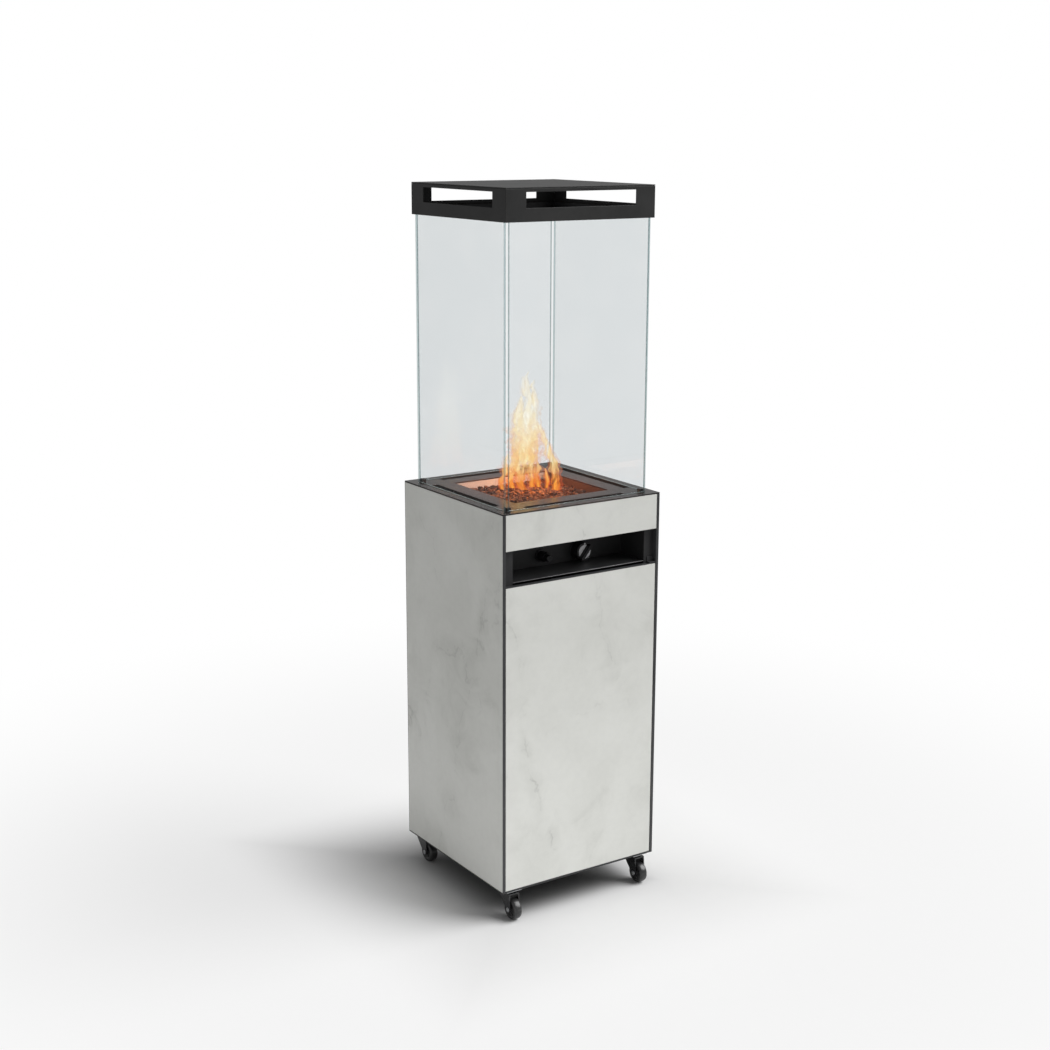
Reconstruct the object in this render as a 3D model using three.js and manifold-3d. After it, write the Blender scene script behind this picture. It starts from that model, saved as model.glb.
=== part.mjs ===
// Free-standing gas patio heater: a stone-clad cabinet on casters, a glass flame chamber and a
// slotted steel hood. Millimetres, +Z up, origin on the floor under the middle, front towards -Y.
import * as THREE from "three";
import { mergeVertices } from "three/addons/utils/BufferGeometryUtils.js";
import Module from "manifold-3d";

const wasm = await Module();
wasm.setup();

// Driving dimensions
const bodyWidth = 430;
const bodyHeight = 892;
const casterHeight = 72;
const chamberHeight = 623;
const hoodWidth = 395;
const hoodHeight = 72.5;
const touchGap = 0.3;

const half = bodyWidth / 2;
const bodyBottom = casterHeight;
const bodyTop = bodyBottom + bodyHeight;
const hoodBottom = bodyTop + chamberHeight;
const hoodTop = hoodBottom + hoodHeight;

// Cabinet
const sheet = 1.5;
const baseThickness = 2.5;
const topThickness = 3;
const stoneThickness = 5.8;
const edgeStrip = 7.5;
const lip = 1.2;
const inner = half - edgeStrip;
const cladding = { bottom: bodyBottom + baseThickness + touchGap, top: bodyTop - topThickness - touchGap };
const frontSheet = -half + 12.5;
const doorOpening = { x: 180, bottom: bodyBottom + 38, top: bodyBottom + 698 };
const niche = { x: 181.5, back: -112, bottom: bodyBottom + 731.5, top: bodyBottom + 812 };
const nicheMouth = bodyBottom + 725;
const upperPanelBottom = bodyBottom + 807.5;
const foldDepth = 20;
const trayFlange = { halfLength: 180, height: 32 };
const bottleVents = [-175, -150, 150, 175];
const ventSize = { width: 12, length: 80 };
const bottlePad = { half: 135, rise: 0.8 };
const magnet = { width: 16, depth: 14, bottom: bodyBottom + 370, top: bodyBottom + 420 };

// Door, hung on two pins near its right edge
const doorTop = bodyBottom + 726;
const doorLeft = -inner + touchGap;
const doorRight = inner - 1;
const hinge = { x: 199, y: -half + 3.5, pin: 2, hole: 2.4, engaged: 9, edge: 190 };

// Burner, glass and hood
const panHalf = 130;
const panDepth = 47.5;
const panFlange = 20;
const airSlot = { from: 172, to: 193, halfLength: 135 };
const cornerShoe = { size: 11, height: 7 };
const glass = { outer: 195, thickness: 6, halfWidth: 186, top: hoodBottom + 13 };
const hoodSlot = { halfLength: 145, bottom: hoodBottom + 29, top: hoodBottom + 62.4 };
const grate = { drop: 29.4, thickness: 1.2, rows: 3, pitch: 30, slotHalf: 4, slotReach: 90 };
const lavaHeap = { bottom: 27.8, top: 14, cells: 16, swell: 1.6 };
const ringBurner = { radius: 75, tubeRadius: 8, bar: 7, feed: 7.5, drop: 38, feedDrop: 56 };
const shield = { half: 200, front: -190, drop: 64.8, skirt: 14, feedHole: 12, pilotHole: 18 };
const retainer = { inside: 160, upstand: 18, corner: 13 };
const pilotPlace = 112;
const pilotSpread = 8;
const panHoles = { feed: 9, nipple: 3.8, probe: 2.8 };
const bodySpace = { shield: bodyTop - 74, high: bodyTop - 92, middle: bodyTop - 116, low: bodyTop - 130 };
const probe = { radius: 2.2, lead: 1.4, bottom: bodyTop - 66, top: bodyTop - 10 };
const electrode = { radius: 2.2, tip: 1.2, bottom: bodyTop - 60, shoulder: bodyTop - 18, top: bodyTop - 9 };
const pipes = { lead: 1.6, pilot: 2.5, supply: 5 };

// Controls
const controlHeight = bodyBottom + 756;
const knob = { x: 58, radius: 22, face: -150, dish: -140, back: -119.5, tilt: 38, gripHalf: 4.5, hub: 8.5 };
const collar = { radius: 17, front: -130, bore: 10.5, flange: 22.4 };
const spindle = { radius: 4, bore: 4.4, front: -131, back: -98, flat: 2.6 };
const igniter = { x: -47, radius: 8, face: -151, seat: -116, bezel: 12, front: -138, flange: 15, nut: 11,
  body: 9, back: -70 };
const valve = { y: -88, halfWidth: 16, halfHeight: 18, front: -110.2, back: -70 };
const wallHoles = { spindle: 6, igniter: 9 };
const hoseTail = { bore: 3, neck: 4.5, barb: 6, nut: 8, length: 32, barbs: 3 };
const tilt = { from: -24, to: 8, depth: 26, bottom: niche.bottom + 6, top: niche.bottom + 28 };

// Casters
const swivel = { x: 181, y: 190 };
const casterHead = { halfWidth: 20, halfLength: 22, pin: 4, rivet: 7, race: 17 };
const fork = { top: 63.8, front: 24, rear: -20, outer: 13.8, gauge: 2.5, foot: 8, hole: 4.4 };
const wheel = { radius: 25, halfWidth: 10, trail: 16, bore: 4.3, hub: 8, rim: 17, side: 22.5, sides: 28 };
const axle = { radius: 4, head: 6, seat: 14.1, end: 16.2 };

const finishes = {
  stone: { color: 0xd4d5ce, roughness: 0.45, metalness: 0 },
  blackSteel: { color: 0x2b2b2c, roughness: 0.45, metalness: 0.3 },
  edgeSteel: { color: 0x434345, roughness: 0.45, metalness: 0.4 },
  zincSteel: { color: 0x9a9c9e, roughness: 0.4, metalness: 0.9 },
  stainless: { color: 0xb9b7b2, roughness: 0.3, metalness: 1 },
  brass: { color: 0xb08d4a, roughness: 0.35, metalness: 1 },
  blackPlastic: { color: 0x141414, roughness: 0.35, metalness: 0 },
  rubber: { color: 0x1b1b1c, roughness: 0.5, metalness: 0 },
  glass: { color: 0xdfe9e8, roughness: 0.05, metalness: 0, transparent: true, opacity: 0.3 },
  lava: { color: 0x3a2a22, roughness: 0.95, metalness: 0 },
};

// A closed three.js geometry as a solid that can be joined and cut.
function solidOf(geometry) {
  geometry.deleteAttribute("normal");
  geometry.deleteAttribute("uv");
  const merged = mergeVertices(geometry, 1e-4);
  const triVerts = new Uint32Array(merged.index.array);
  const vertProperties = new Float32Array(merged.attributes.position.array);
  return new wasm.Manifold(new wasm.Mesh({ numProp: 3, vertProperties, triVerts }));
}

function meshOf(name, solid, finish) {
  const made = solid.getMesh();
  const geometry = new THREE.BufferGeometry();
  geometry.setAttribute("position", new THREE.BufferAttribute(made.vertProperties, 3));
  geometry.setIndex(new THREE.BufferAttribute(made.triVerts, 1));
  geometry.computeVertexNormals();
  const mesh = new THREE.Mesh(geometry, new THREE.MeshStandardMaterial(finish));
  mesh.name = name;
  return mesh;
}

// A box between two corners, each given as [x, y, z].
function block([x0, y0, z0], [x1, y1, z1]) {
  const box = new THREE.BoxGeometry(x1 - x0, y1 - y0, z1 - z0);
  return solidOf(box.translate((x0 + x1) / 2, (y0 + y1) / 2, (z0 + z1) / 2));
}

// A square ring, or a square tube, between an inner and an outer half width.
function squareRing(innerHalf, outerHalf, bottom, top) {
  const outer = block([-outerHalf, -outerHalf, bottom], [outerHalf, outerHalf, top]);
  return outer.subtract(block([-innerHalf, -innerHalf, bottom - 1], [innerHalf, innerHalf, top + 1]));
}

// A profile of [radius, height] points turned round an axis, with a flat side facing the floor.
function turned(profile, axis, sides = 24) {
  const points = profile.map(([radius, along]) => new THREE.Vector2(radius, along));
  const geometry = new THREE.LatheGeometry(points, sides, Math.PI / sides);
  if (axis === "z") geometry.rotateX(Math.PI / 2);
  if (axis === "x") geometry.rotateZ(-Math.PI / 2);
  return solidOf(geometry);
}

function rod(axis, radius, from, to, sides = 24) {
  return turned([[0, from], [radius, from], [radius, to], [0, to]], axis, sides);
}

// An outline drawn across X and Y, raised from one height to another.
function raised(outline, bottom, top) {
  const shape = new THREE.Shape(outline.map(([x, y]) => new THREE.Vector2(x, y)));
  const geometry = new THREE.ExtrudeGeometry(shape, { depth: top - bottom, bevelEnabled: false });
  return solidOf(geometry.translate(0, 0, bottom));
}

// A round tube or wire through the given points.
function tube(points, radius, steps = 26) {
  const route = points.map((point) => new THREE.Vector3(...point));
  const path = new THREE.CatmullRomCurve3(route, false, "catmullrom", 0.3);
  const section = new THREE.Shape();
  section.absarc(0, 0, radius, 0, 2 * Math.PI, false);
  return solidOf(new THREE.ExtrudeGeometry(section, { steps, curveSegments: 4, extrudePath: path }));
}

// Base tray: floor plate with a raised pad for the bottle, vents, three upturned edges and the
// lower door pin.
function baseTray() {
  const floor = bodyBottom + baseThickness;
  let tray = block([-half, -half, bodyBottom], [half, half, floor]);
  tray = tray.add(block([-bottlePad.half, -bottlePad.half, floor - 1],
    [bottlePad.half, bottlePad.half, floor + bottlePad.rise]));
  const flangeTop = bodyBottom + trayFlange.height;
  const reachAlong = trayFlange.halfLength;
  const flangeOuter = inner - touchGap;
  for (const side of [-1, 1]) {
    const reach = [side * (flangeOuter - sheet), side * flangeOuter].sort((a, b) => a - b);
    tray = tray.add(block([reach[0], -reachAlong, bodyBottom + 1], [reach[1], reachAlong, flangeTop]));
  }
  const rearLow = [-reachAlong, flangeOuter - sheet, bodyBottom + 1];
  tray = tray.add(block(rearLow, [reachAlong, flangeOuter, flangeTop]));
  for (const x of bottleVents) {
    const low = [x - ventSize.width / 2, -ventSize.length / 2, bodyBottom - 1];
    const high = [x + ventSize.width / 2, ventSize.length / 2, bodyBottom + baseThickness + 1];
    tray = tray.subtract(block(low, high));
  }
  const pin = rod("z", hinge.pin, bodyBottom + 1, bodyBottom + 1 + hinge.engaged, 12);
  return tray.add(pin.translate(hinge.x, hinge.y, 0));
}

// Side frame: a folded channel whose two lips hold a stone panel by its front and rear edges.
function sideFrame() {
  const outline = [
    [-half, -half], [-inner, -half], [-inner, half], [-half, half],
    [-half, half - lip], [-inner - lip, half - lip], [-inner - lip, -half + lip], [-half, -half + lip],
  ];
  return raised(outline, cladding.bottom, cladding.top);
}

function sideStone() {
  const face = half - lip - touchGap;
  return block([-half, -face, cladding.bottom], [-half + stoneThickness, face, cladding.top]);
}

// Rear frame: a sheet between the side frames with two folded edges.
function rearFrame() {
  const width = inner - touchGap;
  let frame = block([-width, inner, cladding.bottom], [width, inner + sheet - 0.1, cladding.top]);
  for (const side of [-1, 1]) {
    const reach = [side * (width - sheet), side * width].sort((a, b) => a - b);
    const fold = [[reach[0], inner - foldDepth, cladding.bottom], [reach[1], inner + 1, cladding.top]];
    frame = frame.add(block(...fold));
  }
  return frame;
}

function rearStone() {
  const width = inner - touchGap;
  return block([-width, half - stoneThickness, cladding.bottom], [width, half, cladding.top]);
}

// Front frame: recessed sheet with the control niche and the bottle door opening, two folded
// edges, and a shallow box along the top that carries the upper stone panel.
function frontFrame() {
  const width = inner - touchGap;
  const back = frontSheet + sheet;
  const shelf = niche.top + 1;
  const panelBack = -half + stoneThickness + touchGap;
  let frame = block([-width, frontSheet, cladding.bottom], [width, back, cladding.top]);
  for (const side of [-1, 1]) {
    const reach = [side * (width - sheet), side * width].sort((a, b) => a - b);
    const fold = [[reach[0], frontSheet, cladding.bottom], [reach[1], back + foldDepth, cladding.top]];
    frame = frame.add(block(...fold));
  }
  frame = frame.add(block([-width, panelBack, shelf], [width, frontSheet + 1, cladding.top]));
  const hollow = block([-half, panelBack + lip, shelf + sheet], [half, frontSheet, cladding.top - sheet]);
  const nicheHole = block([-niche.x, -half, nicheMouth], [niche.x, back + 1, niche.top]);
  const { x, bottom, top } = doorOpening;
  const doorHole = block([-x, -half, bottom], [x, back + 1, top]);
  return frame.subtract(hollow).subtract(nicheHole).subtract(doorHole);
}

function upperFrontStone() {
  const width = inner - touchGap;
  return block([-width, -half, upperPanelBottom], [width, -half + stoneThickness, cladding.top]);
}

// Control niche: a tray open to the front, with holes for the valve spindle and the igniter.
function controlBox() {
  const front = frontSheet + sheet + touchGap;
  const outer = niche.x + sheet;
  let box = block([-outer, front, niche.bottom - sheet], [outer, niche.back + sheet, niche.top + sheet]);
  box = box.subtract(block([-niche.x, front - 1, niche.bottom], [niche.x, niche.back, niche.top]));
  for (const [x, radius] of [[knob.x, wallHoles.spindle], [igniter.x, wallHoles.igniter]]) {
    box = box.subtract(rod("y", radius, niche.back - 2, niche.back + 4).translate(x, 0, controlHeight));
  }
  return box;
}

// Top plate: square opening for the burner pan, four air slots at the glass and four corner
// shoes that the panes stand against.
function topPlate() {
  let plate = squareRing(panHalf, half, bodyTop - topThickness, bodyTop);
  const shoeOuter = glass.outer - glass.thickness - touchGap;
  const shoeInner = shoeOuter - cornerShoe.size;
  const shoeTop = bodyTop + cornerShoe.height;
  for (const turn of [0, 90, 180, 270]) {
    const low = [airSlot.from, -airSlot.halfLength, bodyTop - 10];
    const slot = block(low, [airSlot.to, airSlot.halfLength, bodyTop + 10]);
    const shoe = block([shoeInner, shoeInner, bodyTop - 1], [shoeOuter, shoeOuter, shoeTop]);
    plate = plate.subtract(slot.rotate(0, 0, turn)).add(shoe.rotate(0, 0, turn));
  }
  return plate;
}

function glassPane() {
  const low = [-glass.halfWidth, -glass.outer, bodyTop + touchGap];
  return block(low, [glass.halfWidth, -glass.outer + glass.thickness, glass.top]);
}

// Burner pan: a folded tray hung under the top plate by its flange.
function burnerPan() {
  const rim = bodyTop - topThickness - touchGap;
  const floor = bodyTop - panDepth;
  let pan = squareRing(panHalf, panHalf + sheet, floor, rim);
  pan = pan.add(squareRing(panHalf, panHalf + panFlange, rim - sheet, rim));
  pan = pan.add(block([-panHalf - 1, -panHalf - 1, floor - sheet], [panHalf + 1, panHalf + 1, floor]));
  pan = pan.add(squareRing(panHalf - 1, panHalf + sheet, floor - sheet, floor));
  const near = pilotPlace - pilotSpread;
  const far = pilotPlace + pilotSpread;
  const { feed, nipple, probe } = panHoles;
  const holes = [[0, 0, feed], [pilotPlace, pilotPlace, nipple], [far, near, probe], [near, far, probe]];
  for (const [x, y, radius] of holes) {
    pan = pan.subtract(rod("z", radius, floor - 5, floor + 5).translate(x, y, 0));
  }
  return pan;
}

function pilotNotch() {
  return block([pilotPlace - 17, pilotPlace - 17, bodyTop - 60], [panHalf + 5, panHalf + 5, bodyTop + 5]);
}

function lavaGrate() {
  const edge = panHalf - 1;
  const low = bodyTop - grate.drop;
  const high = low + grate.thickness;
  let plate = block([-edge, -edge, low], [edge, edge, high]);
  for (let row = -grate.rows; row <= grate.rows; row += 1) {
    const y = row * grate.pitch;
    const from = [-grate.slotReach, y - grate.slotHalf, low - 1];
    plate = plate.subtract(block(from, [grate.slotReach, y + grate.slotHalf, high + 1]));
  }
  return plate.subtract(pilotNotch());
}

// Lava bed: one slab whose top rises and falls like a heap of stones.
function lavaBed() {
  const edge = panHalf - 1.5;
  const { cells, swell } = lavaHeap;
  const bottom = bodyTop - lavaHeap.bottom;
  const top = bodyTop - lavaHeap.top;
  const slab = new THREE.BoxGeometry(2 * edge, 2 * edge, top - bottom, cells, cells, 1);
  slab.translate(0, 0, (top + bottom) / 2);
  const place = slab.attributes.position;
  for (let i = 0; i < place.count; i += 1) {
    const x = place.getX(i);
    const y = place.getY(i);
    const rise = swell * Math.sin(x * 0.19 + 1.3 * Math.sin(y * 0.11)) * Math.cos(y * 0.17 - x * 0.05);
    if (place.getZ(i) > top - 1) place.setZ(i, top + rise - 0.4);
  }
  return solidOf(slab).subtract(pilotNotch());
}

// Ring burner with a cross bar and a feed stub through the pan floor.
function burnerRing() {
  const { radius, tubeRadius, bar, feed, drop, feedDrop } = ringBurner;
  const height = bodyTop - drop;
  const ring = solidOf(new THREE.TorusGeometry(radius, tubeRadius, 10, 32)).translate(0, 0, height);
  const cross = rod("x", bar, -radius, radius, 12).translate(0, 0, height);
  return ring.add(cross).add(rod("z", feed, bodyTop - feedDrop, height, 16));
}

function heatShield() {
  const { half: size, front, drop, skirt, feedHole, pilotHole } = shield;
  const top = bodyTop - drop;
  let plate = block([-size, front, top - lip], [size, size, top]);
  for (const side of [-1, 1]) {
    const reach = [side * (size - lip), side * size].sort((a, b) => a - b);
    plate = plate.add(block([reach[0], front, top - skirt], [reach[1], size, top]));
  }
  const pilot = rod("z", pilotHole, top - 5, top + 5).translate(pilotPlace, pilotPlace, 0);
  return plate.subtract(rod("z", feedHole, top - 5, top + 5)).subtract(pilot);
}

// Pilot burner: nipple through the pan floor, body and a hooded mouth.
function pilotBurner() {
  const floor = bodyTop - panDepth;
  const body = turned([[0, floor - 9], [3, floor - 9], [3, floor + 1], [7, floor + 1], [7, bodyTop - 12],
    [0, bodyTop - 12]], "z", 16);
  const mouth = block([-9, -9, bodyTop - 24], [0, 0, bodyTop - 15]);
  return body.subtract(mouth).translate(pilotPlace, pilotPlace, 0);
}

// Thermocouple: probe beside the pilot and its lead down to the valve.
function thermocouple() {
  const x = pilotPlace + pilotSpread;
  const y = pilotPlace - pilotSpread;
  const { high, middle, low } = bodySpace;
  const tip = rod("z", probe.radius, probe.bottom, probe.top, 12).translate(x, y, 0);
  const lead = [[x, y, probe.bottom + 1], [x, y - 6, high + 8], [x - 2, y - 64, middle],
    [x - 20, y - 114, low], [knob.x + 10, -45, low - 1], [knob.x + 6, valve.back + touchGap, low - 1]];
  return tip.add(tube(lead, probe.lead));
}

function sparkElectrode() {
  const { radius, tip, bottom, shoulder, top } = electrode;
  const profile = [[0, bottom], [radius, bottom], [radius, shoulder], [tip, shoulder + 1], [tip, top],
    [0, top]];
  return turned(profile, "z", 12).translate(pilotPlace - pilotSpread, pilotPlace + pilotSpread, 0);
}

// High-tension lead from the piezo to the electrode.
function ignitionLead() {
  const x = pilotPlace - pilotSpread;
  const y = pilotPlace + pilotSpread;
  const start = igniter.back + touchGap;
  const end = electrode.bottom - 0.4;
  const { shield: under, high, middle } = bodySpace;
  return tube([[igniter.x, start, controlHeight], [igniter.x, start + 30, controlHeight],
    [-20, 20, middle + 4], [50, 90, high + 4], [x, y, under], [x, y, end]], pipes.lead);
}

function pilotPipe() {
  const start = knob.x + valve.halfWidth + touchGap;
  const place = pilotPlace;
  const { shield: under, high, middle } = bodySpace;
  const end = bodyTop - panDepth - 9.4;
  return tube([[start, valve.y, controlHeight], [start + 20, valve.y, controlHeight],
    [place, -60, middle - 2], [place, 60, high], [place, place, under], [place, place, end]], pipes.pilot);
}

function supplyPipe() {
  const start = controlHeight + valve.halfHeight + touchGap;
  const end = bodyTop - ringBurner.feedDrop - 0.4;
  return tube([[knob.x, valve.y, start], [knob.x, valve.y, start + 14], [40, -60, start + 28],
    [8, -14, start + 34], [0, 0, start + 42], [0, 0, end]], pipes.supply);
}

// Gas valve: a block with a front boss bored for the spindle.
function gasValve() {
  const { halfWidth, halfHeight, front, back } = valve;
  const low = [knob.x - halfWidth, front + 6, controlHeight - halfHeight];
  const high = [knob.x + halfWidth, back, controlHeight + halfHeight];
  const boss = rod("y", 12, front, front + 8).translate(knob.x, 0, controlHeight);
  const bore = rod("y", spindle.bore, front - 1, front + 15).translate(knob.x, 0, controlHeight);
  return block(low, high).add(boss).subtract(bore);
}

// Hose tail under the valve, with three barbs.
function inletNozzle() {
  const { bore, neck, barb, nut, length, barbs } = hoseTail;
  const top = controlHeight - valve.halfHeight - touchGap;
  const profile = [[bore, top], [bore, top - length], [neck, top - length]];
  for (let step = 0; step < barbs; step += 1) {
    const level = top - length + 1 + step * 5;
    profile.push([neck, level], [barb, level + 4]);
  }
  profile.push([neck + 0.5, top - length / 2], [nut, top - length / 2 + 1], [nut, top], [bore, top]);
  return turned(profile, "z", 16).translate(knob.x, valve.y, 0);
}

function tiltSwitch() {
  const { from, to, depth, bottom, top } = tilt;
  return block([from, niche.back + sheet + touchGap, bottom], [to, niche.back + depth, top]);
}

// Piezo igniter body behind the niche wall.
function piezoBody() {
  const front = niche.back + sheet + touchGap;
  const { nut, body, back } = igniter;
  const profile = [[0, front], [nut, front], [nut, front + 6], [body, front + 6], [body, back], [0, back]];
  return turned(profile, "y", 20).translate(igniter.x, 0, controlHeight);
}

// Igniter bezel: a collar on the niche wall that guides the button.
function igniterBezel() {
  const { front, bezel, flange } = igniter;
  const bore = igniter.radius + 0.6;
  const back = niche.back - touchGap;
  const profile = [[bore, front], [bezel - 1.5, front], [bezel, front + 3], [bezel, back - 3],
    [flange, back - 3], [flange, back], [bore, back], [bore, front]];
  return turned(profile, "y", 24).translate(igniter.x, 0, controlHeight);
}

function igniterButton() {
  const { radius, face, seat } = igniter;
  const profile = [[0, face], [radius - 1.5, face], [radius, face + 1.5], [radius, seat], [0, seat]];
  return turned(profile, "y", 24).translate(igniter.x, 0, controlHeight);
}

// Knob bezel: a flange on the niche wall with a collar inside the knob's skirt.
function knobBezel() {
  const { radius, front, bore, flange } = collar;
  const back = niche.back - touchGap;
  const profile = [[bore, front], [radius, front], [radius, back - 2.2], [flange - 1, back - 2.2],
    [flange, back - 1], [flange, back], [bore, back], [bore, front]];
  return turned(profile, "y", 28).translate(knob.x, 0, controlHeight);
}

// Valve spindle with a flat along it.
function valveSpindle() {
  const { radius, front, back, flat } = spindle;
  const cut = block([-radius - 1, front - 1, flat], [radius + 1, niche.back - 8, radius + 2]);
  return rod("y", radius, front, back, 16).subtract(cut).translate(knob.x, 0, controlHeight);
}

// Control knob: skirt over the bezel collar, hub on the spindle and a straight grip across the face.
function controlKnob() {
  const { radius, face, dish, back, tilt, gripHalf, hub } = knob;
  const wall = dish + 3;
  const inside = radius - 3.5;
  const hubEnd = back + 1.5;
  const profile = [[0, dish], [radius - 1.5, dish], [radius, dish + 1.5], [radius, back], [inside, back],
    [inside, wall], [hub, wall], [hub, hubEnd], [0, hubEnd]];
  const grip = block([-gripHalf, face, -radius + 1], [gripHalf, dish + 2, radius - 1]).rotate(0, tilt, 0);
  const bore = rod("y", spindle.bore, wall + 1, back + 5, 16);
  return turned(profile, "y", 28).add(grip).subtract(bore).translate(knob.x, 0, controlHeight);
}

// Door stone, with its front right corner eased so that it clears the frame as it swings.
function doorStone() {
  const front = -half;
  const back = -half + stoneThickness - 0.1;
  const outline = [[doorLeft, front], [doorRight - 1, front], [doorRight, front + 1], [doorRight, back],
    [doorLeft, back]];
  const slab = raised(outline, bodyBottom + 4.8, doorTop - 2);
  return slab.subtract(hingeBore(bodyBottom, bodyBottom + hinge.engaged + 3))
    .subtract(hingeBore(doorTop - hinge.engaged - 2, doorTop));
}

function hingeBore(from, to) {
  return rod("z", hinge.hole, from, to, 12).translate(hinge.x, hinge.y, 0);
}

// Door backing: a steel tray behind the stone, whose top and bottom edges cap the slab.
function doorBacking() {
  const front = -half + stoneThickness + 0.2;
  const back = frontSheet - 1;
  const right = hinge.x + 1.5;
  const low = bodyBottom + 3;
  const capped = [[doorLeft, -half + 0.2], [doorRight - 1.5, -half + 0.2], [doorRight - 1, front - 0.3],
    [right, front], [right, back], [doorLeft + 1.2, back], [doorLeft + 1.2, front], [doorLeft, front - 0.3]];
  const high = doorTop - 0.2;
  const stonePocket = block([-half - 1, -half - 1, low + sheet], [half, front, high - sheet]);
  const hollow = block([doorLeft + 3, front + lip, low + 2], [right - 2, back + 1, high - 2]);
  const tray = raised(capped, low, high).subtract(stonePocket).subtract(hollow);
  const lower = hingeBore(bodyBottom, bodyBottom + hinge.engaged + 3);
  return tray.subtract(lower).subtract(hingeBore(doorTop - hinge.engaged - 2, doorTop + 1));
}

// Upper hinge bracket: tab on the front sheet, arm over the door and a pin pointing down.
function hingeBracket() {
  const back = frontSheet - touchGap;
  const arm = block([hinge.edge, -half + 1, doorTop + 0.8], [inner - 0.6, back, doorTop + 2.8]);
  const tab = block([hinge.edge, back - sheet, doorTop + 2], [inner - 0.6, back, doorTop + 14]);
  const pin = rod("z", hinge.pin, doorTop - hinge.engaged, doorTop + 1.5, 12).translate(hinge.x, hinge.y, 0);
  return arm.add(tab).add(pin);
}

function doorMagnet() {
  const left = -doorOpening.x + touchGap;
  const { width, depth, bottom, top } = magnet;
  return block([left, frontSheet - 0.7, bottom], [left + width, frontSheet + depth, top]);
}

// Hood skirt: a square band with a long slot in each side.
function hoodSkirt() {
  const skirtTop = hoodTop - 2.8;
  let skirt = squareRing(hoodWidth / 2 - 2, hoodWidth / 2, hoodBottom, skirtTop);
  const { halfLength, bottom, top } = hoodSlot;
  skirt = skirt.subtract(block([-halfLength, -half, bottom], [halfLength, half, top]));
  return skirt.subtract(block([-half, -halfLength, bottom], [half, halfLength, top]));
}

function hoodLid() {
  const rim = hoodWidth / 2 - 2 - touchGap;
  const edge = hoodWidth / 2;
  const lid = block([-edge, -edge, hoodTop - 2.5], [edge, edge, hoodTop]);
  return lid.add(squareRing(rim - 2, rim, hoodSlot.top + 1, hoodTop - 2));
}

// Glass retainer inside the hood: a ledge, an upstand against the panes and four corner blocks.
function glassRetainer() {
  const grip = glass.outer - glass.thickness - touchGap;
  const reach = hoodWidth / 2 - 2 - touchGap;
  const low = hoodBottom + 1;
  const ledge = squareRing(retainer.inside, grip, low, low + 2);
  let frame = ledge.add(squareRing(grip - 2, grip, low, low + retainer.upstand));
  for (const turn of [0, 90, 180, 270]) {
    const start = glass.halfWidth + 0.5;
    frame = frame.add(block([start, start, low], [reach, reach, low + retainer.corner]).rotate(0, 0, turn));
  }
  return frame;
}

// Caster plate: mounting plate, swivel race and the riveted kingpin.
function casterPlate() {
  const { halfWidth, halfLength } = casterHead;
  const low = [-halfWidth, -halfLength, casterHeight - 2.8];
  const plate = block(low, [halfWidth, halfLength, casterHeight - touchGap]);
  const { pin, rivet, race } = casterHead;
  const profile = [[0, 58], [rivet, 58], [rivet, 60.3], [pin, 60.3], [pin, 64.3], [race - 3, 64.3],
    [race, 66], [race, 69.6], [0, 69.6]];
  return plate.add(turned(profile, "z", 24));
}

// Caster fork: a top plate and two raked legs that hold the axle behind the swivel.
function casterFork() {
  const { top, front, rear, outer, gauge, foot, hole } = fork;
  const shape = new THREE.Shape();
  shape.moveTo(rear, top);
  shape.lineTo(-wheel.trail - foot, wheel.radius);
  shape.absarc(-wheel.trail, wheel.radius, foot, Math.PI, 1.8 * Math.PI, false);
  shape.lineTo(front, top - 7.8);
  shape.lineTo(front, top);
  const settings = { depth: gauge, curveSegments: 8, bevelEnabled: false };
  const leg = solidOf(new THREE.ExtrudeGeometry(shape, settings).rotateZ(Math.PI / 2).rotateY(Math.PI / 2));
  const crown = block([-outer, rear, top - 3], [outer, front, top]);
  const axleHole = rod("x", wheel.bore, -20, 20, 16).translate(0, -wheel.trail, wheel.radius);
  const legs = leg.translate(outer - gauge, 0, 0).add(leg.translate(-outer, 0, 0));
  return legs.add(crown).subtract(rod("z", hole, 50, 70, 16)).subtract(axleHole);
}

function casterAxle() {
  const { radius, head, seat, end } = axle;
  const profile = [[0, -end], [head, -end], [head, -seat], [radius, -seat], [radius, seat], [head, seat],
    [head, end], [0, end]];
  return turned(profile, "x", 16);
}

// Wheel: tyre, dished sides and a hub, with a flat facet on the floor.
function casterWheel() {
  const tread = wheel.radius / Math.cos(Math.PI / wheel.sides);
  const { halfWidth: face, bore, hub, rim, side } = wheel;
  const hubFace = face + 0.6;
  const dish = face - 3;
  const profile = [[bore, -hubFace], [hub, -hubFace], [hub, -dish], [rim - 1, -dish], [rim, -face],
    [side, -face], [tread, -dish], [tread, dish], [side, face], [rim, face], [rim - 1, dish], [hub, dish],
    [hub, hubFace], [bore, hubFace], [bore, -hubFace]];
  return turned(profile, "x", wheel.sides);
}

// Assembly
const heater = new THREE.Group();
const { stone, blackSteel, edgeSteel, zincSteel, stainless, brass, blackPlastic, rubber, lava } = finishes;

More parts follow.
